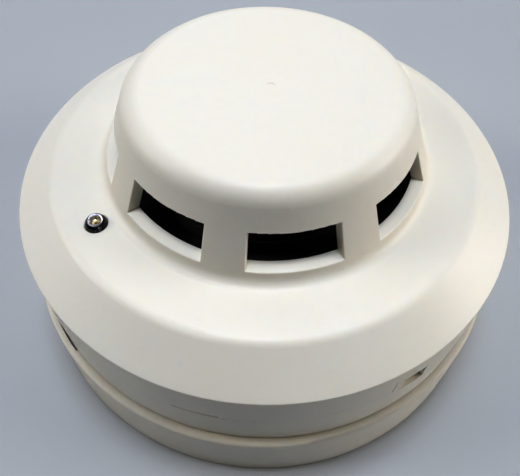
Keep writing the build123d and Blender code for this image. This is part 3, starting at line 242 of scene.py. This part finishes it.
def circuit_laminate(name):
    """Solder mask over etched copper: tracks on a 45 degree grid under the green."""
    paint = Paint(name)
    def tracks(turn, pitch):
        node = paint.nodes.new("ShaderNodeTexBrick")
        paint.links.new(paint.moved(turn=(0, 0, turn)), node.inputs["Vector"])
        node.inputs["Scale"].default_value = 1 / pitch
        node.inputs["Mortar Size"].default_value = 0.02
        node.inputs["Mortar Smooth"].default_value = 0.3
        node.inputs["Brick Width"].default_value = 1.3
        node.inputs["Row Height"].default_value = 0.4
        return node.outputs["Fac"]
    lines = paint.sums("MAXIMUM", tracks(0.0, 7 * MM), tracks(math.pi / 4, 11 * MM))
    mask = paint.mixed(lines, (0.012, 0.13, 0.045), (0.03, 0.27, 0.09))
    paint.feed("Base Color", mask)
    weave = paint.cells(0.6 * MM)
    paint.feed("Roughness", paint.spread(weave, 0.0, 0.6, 0.22, 0.34))
    glass = paint.bump(weave, 0.006 * MM, 0.6)
    paint.feed("Normal", paint.bump(lines, 0.035 * MM, 1.0, glass))
    paint.set(Coat_Weight=0.3, Coat_Roughness=0.15)
    return paint.material


def glazed(name, colour, second, roughness, patch=0.9 * MM):
    """Small fired or moulded component body with a mottled, slightly glossy skin."""
    paint = Paint(name)
    blotch = paint.spread(paint.noise(patch, 4.0, 0.65), 0.35, 0.68)
    paint.feed("Base Color", paint.mixed(blotch, colour, second))
    fine = paint.noise(0.09 * MM, 3.0)
    paint.feed("Roughness", paint.spread(fine, 0.3, 0.7, roughness - 0.05, roughness + 0.1))
    paint.feed("Normal", paint.bump(fine, 0.006 * MM))
    return paint.material


def foam(name):
    paint = Paint(name)
    pores = paint.cells(0.35 * MM)
    deep = paint.spread(pores, 0.1, 0.6)
    paint.feed("Base Color", paint.mixed(deep, (0.02, 0.02, 0.02), (0.075, 0.075, 0.078)))
    paint.feed("Roughness", paint.spread(pores, 0.0, 0.6, 0.95, 0.8))
    paint.feed("Normal", paint.bump(pores, 0.12 * MM))
    return paint.material


def paper_floor(name):
    """Plain pale board under the object."""
    paint = Paint(name)
    cloud = paint.spread(paint.noise(160 * MM, 2.0), 0.3, 0.7)
    paint.feed("Base Color", paint.mixed(cloud, (0.50, 0.516, 0.525), (0.518, 0.533, 0.542)))
    fibre = paint.noise(0.6 * MM, 4.0, 0.65)
    paint.feed("Roughness", paint.spread(fibre, 0.3, 0.7, 0.6, 0.72))
    paint.feed("Normal", paint.bump(fibre, 0.01 * MM, 0.5))
    return paint.material


IVORY = (0.878, 0.842, 0.748)
FINISHES = {
    "ivory": satin_plastic("moulded_ivory", IVORY),
    "housing": satin_plastic("moulded_ivory_rear", IVORY, 0.46),
    "base": satin_plastic("moulded_ivory_base", IVORY, 0.45),
    "chamber": matt_black("chamber_black"),
    "screen": matt_black("screen_black", (0.026, 0.026, 0.030), 0.62, 0.12 * MM),
    "acetal": satin_plastic("lever_acetal", (0.78, 0.77, 0.70), 0.34, 0.3 * MM, specks=False),
    "gasket": foam("gasket_foam"),
    "laminate": circuit_laminate("board_laminate"),
    "chip": glazed("chip_epoxy", (0.018, 0.018, 0.02), (0.035, 0.035, 0.037), 0.5),
    "resistor": glazed("resistor_glaze", (0.012, 0.012, 0.015), (0.03, 0.03, 0.035), 0.22),
    "ceramic": glazed("capacitor_ceramic", (0.40, 0.27, 0.15), (0.50, 0.36, 0.22), 0.45),
    "varistor": glazed("varistor_epoxy", (0.02, 0.07, 0.36), (0.03, 0.10, 0.42), 0.2, 2.5 * MM),
    "sleeve": metal("can_aluminium", (0.72, 0.73, 0.76), 0.28, (1, 1, 20)),
    "lens": clear_epoxy("lamp_epoxy", (0.96, 0.97, 0.97)),
    "infrared": clear_epoxy("infrared_epoxy", (0.32, 0.38, 0.62), 0.06),
    "photodiode": glazed("photodiode_epoxy", (0.006, 0.006, 0.010), (0.012, 0.011, 0.018), 0.12),
    "tin": metal("tinned_wire", (0.78, 0.78, 0.77), 0.3),
    "shield": metal("tin_plate", (0.70, 0.71, 0.70), 0.33, (12, 1, 1)),
    "zinc": metal("zinc_steel", (0.66, 0.67, 0.68), 0.34, (1, 1, 1), (0.48, 0.50, 0.52)),
    "nickel": metal("nickel_brass", (0.78, 0.73, 0.60), 0.25, (10, 1, 1), (0.62, 0.55, 0.38)),
    "bronze": metal("spring_bronze", (0.80, 0.52, 0.28), 0.3, (1, 12, 1), (0.52, 0.30, 0.15)),
    "pin": metal("pin_steel", (0.55, 0.55, 0.56), 0.3, (12, 1, 1)),
    "lamp_sleeve": matt_black("lamp_sleeve_black", (0.008, 0.007, 0.008), 0.5),
    "lamp_silver": metal("lamp_cup_silver", (0.90, 0.88, 0.97), 0.3, (4, 4, 1), (0.70, 0.68, 0.80)),
    "lamp_gold": metal("lamp_cup_gold", (0.90, 0.82, 0.62), 0.35, (4, 4, 1), (0.58, 0.46, 0.26)),
    "lamp_die": glazed("lamp_die_crystal", (0.75, 0.55, 0.20), (0.90, 0.74, 0.38), 0.2, 0.1 * MM),
}
NODE_FINISH = {
    "top_cover": "ivory", "rear_housing": "housing", "mounting_base": "base",
    "lock_lever": "acetal", "lock_pin": "pin", "base_contacts": "bronze",
    "terminal_clamps": "zinc", "terminal_screws": "zinc", "contact_blades": "nickel",
    "contact_pillars": "nickel", "contact_screws": "zinc", "board_screws": "zinc",
    "chamber_screws": "zinc", "circuit_board": "laminate", "component_leads": "tin",
    "electrolytic_capacitors": "sleeve", "varistor": "varistor", "microcontroller": "chip",
    "amplifier_chip": "chip", "transistors": "chip", "rectifier_diodes": "chip",
    "chip_resistors": "resistor", "chip_capacitors": "ceramic", "status_led": "lens",
    "ir_emitter": "infrared", "photodiode": "photodiode", "photodiode_shield": "shield",
    "chamber_base": "chamber", "chamber_cover": "chamber", "insect_screen": "screen",
    "chamber_gasket": "gasket",
}
for node, finish in NODE_FINISH.items():
    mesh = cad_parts[node].data
    mesh.materials.clear()
    mesh.materials.append(FINISHES[finish])


# ---- Status lamp ----
LAMP_FLANGE = 0.4 * MM       # flange beyond the barrel
LAMP_FLANGE_HEIGHT = 1.0 * MM
LAMP_EDGE = 0.15 * MM        # broken edges of the flange
BLACK_DROP = 0.15 * MM       # clear epoxy starts this far below the dome's equator
CUP_RISE = 1.0 * MM          # cup's rim above the equator
CUP_DEPTH = 0.5 * MM
CUP_SKIN = 0.02 * MM         # small steps that round the cup's edges
STEM_RADIUS = 0.45 * MM
DIE_WIDTH, DIE_HEIGHT = 0.36 * MM, 0.24 * MM
POST_WIDTH, POST_HEIGHT = 0.35 * MM, 1.2 * MM
POST_OFFSET = 1.46 * MM      # post beside the cup
WIRE_RADIUS = 0.025 * MM
WIRE_RISE = 0.2 * MM


def arc(radius, centre_height, start, end, steps):
    """Points (radius, height) on a circle about the lamp's axis, between two elevations."""
    angles = [math.radians(start + (end - start) * i / steps) for i in range(steps + 1)]
    return [(radius * math.cos(a), centre_height + radius * math.sin(a)) for a in angles]


def lathe(name, bands, finishes, steps=72):
    """Closed solid of revolution. bands are (finish index, points), from the bottom pole up."""
    form = bmesh.new()
    rows, finish_of_row = [], []
    for finish, points in bands:
        for radius, height in points:
            if radius < 1e-6:
                rows.append([form.verts.new((0, 0, height))])
            else:
                turns = [2 * math.pi * i / steps for i in range(steps)]
                places = [(radius * math.cos(t), radius * math.sin(t), height) for t in turns]
                rows.append([form.verts.new(place) for place in places])
            finish_of_row.append(finish)
    for lower, upper, finish in zip(rows, rows[1:], finish_of_row[1:]):
        for i in range(steps):
            j = (i + 1) % steps
            below = [lower[i % len(lower)], lower[j % len(lower)]]
            ring = below + [upper[j % len(upper)], upper[i % len(upper)]]
            face = form.faces.new(list(dict.fromkeys(ring)))
            face.material_index = finish
            face.smooth = True
    bmesh.ops.recalc_face_normals(form, faces=form.faces)
    mesh = bpy.data.meshes.new(name)
    form.to_mesh(mesh)
    form.free()
    mesh.set_sharp_from_angle(angle=math.radians(32))
    for finish in finishes:
        mesh.materials.append(FINISHES[finish])
    piece = bpy.data.objects.new(name, mesh)
    bpy.context.scene.collection.objects.link(piece)
    return piece


def block_mesh(name, width, height, edge, finish):
    """Small block with bevelled edges, centred on its own origin."""
    form = bmesh.new()
    bmesh.ops.create_cube(form, size=1.0)
    bmesh.ops.scale(form, vec=(width, width, height), verts=form.verts)
    bmesh.ops.bevel(form, geom=form.edges[:], offset=edge, segments=2, profile=0.5, affect="EDGES")
    mesh = bpy.data.meshes.new(name)
    form.to_mesh(mesh)
    form.free()
    mesh.materials.append(FINISHES[finish])
    piece = bpy.data.objects.new(name, mesh)
    bpy.context.scene.collection.objects.link(piece)
    return piece


def bond_wire(start, end):
    """Fine gold wire that arches from the die to the post."""
    data = bpy.data.curves.new("lamp_wire", "CURVE")
    data.dimensions = "3D"
    data.bevel_depth = WIRE_RADIUS
    spline = data.splines.new("BEZIER")
    spline.bezier_points.add(1)
    rise = Vector((0, 0, WIRE_RISE))
    for point, place, handle in zip(spline.bezier_points, (start, end), (start + rise, end + rise)):
        point.co = place
        point.handle_left = point.handle_right = handle
        point.handle_left_type = point.handle_right_type = "FREE"
    data.materials.append(FINISHES["lamp_gold"])
    piece = bpy.data.objects.new("lamp_wire", data)
    bpy.context.scene.collection.objects.link(piece)
    return piece


def status_lamp():
    """Water-clear lamp: epoxy lens on a black barrel, over a reflector cup with die and bond wire."""
    low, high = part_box("status_led")
    middle = Vector(((low.x + high.x) / 2, (low.y + high.y) / 2, 0))
    flange = (high.x - low.x) / 2
    radius = flange - LAMP_FLANGE
    equator = high.z - radius
    black_top = equator - BLACK_DROP
    flange_top = low.z + LAMP_FLANGE_HEIGHT
    barrel = [
        (0, low.z), (flange - LAMP_EDGE, low.z), (flange, low.z + LAMP_EDGE),
        (flange, flange_top - LAMP_EDGE), (flange - LAMP_EDGE, flange_top),
        (radius, flange_top), (radius, black_top),
    ]
    clear = arc(radius, equator, 0, 90, 18)[:-1] + [(0, high.z)]
    lens = lathe("lamp_lens", [(1, barrel), (0, clear)], ["lens", "lamp_sleeve"])
    cup_rim = equator + CUP_RISE
    cup_floor = cup_rim - CUP_DEPTH
    stem_foot = black_top - 0.4 * MM
    stem = [(0, stem_foot), (STEM_RADIUS, stem_foot), (STEM_RADIUS, cup_floor - 0.35 * MM)]
    rim = [
        (0.8 * MM, cup_floor - 0.25 * MM), (1.22 * MM, cup_rim - 0.06 * MM), (1.24 * MM, cup_rim),
        (0.92 * MM, cup_rim + CUP_SKIN), (0.88 * MM, cup_rim - 0.04 * MM),
    ]
    bowl_foot = cup_floor - CUP_SKIN
    bowl = [(0.5 * MM, cup_floor), (0.45 * MM, bowl_foot), (0, bowl_foot)]
    cup = lathe("lamp_cup", [(0, stem), (0, rim), (1, bowl)], ["lamp_silver", "lamp_gold"])
    die = block_mesh("lamp_die", DIE_WIDTH, DIE_HEIGHT, 0.03 * MM, "lamp_die")
    die.location = (0, 0, cup_floor + 0.11 * MM)
    post = block_mesh("lamp_post", POST_WIDTH, POST_HEIGHT, 0.05 * MM, "lamp_silver")
    post.location = (0, 0, equator + 0.1 * MM)
    wire_foot = Vector((0, 0, cup_floor + 0.22 * MM))
    wire = bond_wire(wire_foot, Vector((0, 1.42 * MM, equator + 0.68 * MM)))
    facing = math.atan2(middle.y, middle.x)
    slots = {lens: "led_clear", cup: "tin_wire", die: "led_clear", post: "tin_wire", wire: "tin_wire"}
    for piece, slot in slots.items():
        piece.location = middle + Vector((0, 0, piece.location.z))
        piece.rotation_euler = (0, 0, facing)
    post.location += Matrix.Rotation(facing, 3, "Z") @ Vector((0, POST_OFFSET, 0))
    for piece in slots:
        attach(piece, "head")
    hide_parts("status_led")


# ---- Floor and light ----
def floor():
    mesh = bpy.data.meshes.new("floor")
    form = bmesh.new()
    bmesh.ops.create_circle(form, cap_ends=True, segments=96, radius=2.5)
    form.to_mesh(mesh)
    form.free()
    board = bpy.data.objects.new("floor", mesh)
    board.location = (0, 0, cad_low.z - 0.02 * MM)
    mesh.materials.append(paper_floor("pale_board"))
    bpy.context.scene.collection.objects.link(board)


def softbox(name, place, size, power, colour):
    """Rectangular area light that faces the object."""
    data = bpy.data.lights.new(name, "AREA")
    data.shape = "RECTANGLE"
    data.size, data.size_y = size
    data.energy = power
    data.color = colour
    lamp = bpy.data.objects.new(name, data)
    lamp.location = place
    lamp.rotation_mode = "QUATERNION"
    aim = Vector((0, 0, 0.03)) - Vector(place)
    lamp.rotation_quaternion = aim.to_track_quat("-Z", "Y")
    bpy.context.scene.collection.objects.link(lamp)


def studio():
    cool = (0.93, 1.0, 1.14)
    warm = (1.06, 1.0, 0.94)
    softbox("overhead_bar", (0.0, 0.26, 1.2), (2.6, 0.4), 4.0, cool)
    softbox("overhead_key", (0.0, 0.10, 1.2), (0.35, 0.25), 7.1, cool)
    softbox("left_fill", (-1.2, 0.25, 0.8), (0.5, 0.5), 6.6, warm)
    softbox("right_fill", (1.2, -0.2, 0.45), (0.6, 0.6), 8.4, warm)
    softbox("rim_light", (0.0, 0.9, 0.8), (0.8, 0.5), 2.0, cool)
    world = bpy.data.worlds.new("studio")
    world.use_nodes = True
    background = world.node_tree.nodes["Background"]
    background.inputs["Color"].default_value = (1.0, 0.93, 0.84, 1.0)
    background.inputs["Strength"].default_value = 0.004
    bpy.context.scene.world = world
    bpy.context.scene.view_settings.view_transform = "Standard"
    bpy.context.scene.view_settings.gamma = 0.66


aimed_camera()
status_lamp()
floor()
studio()
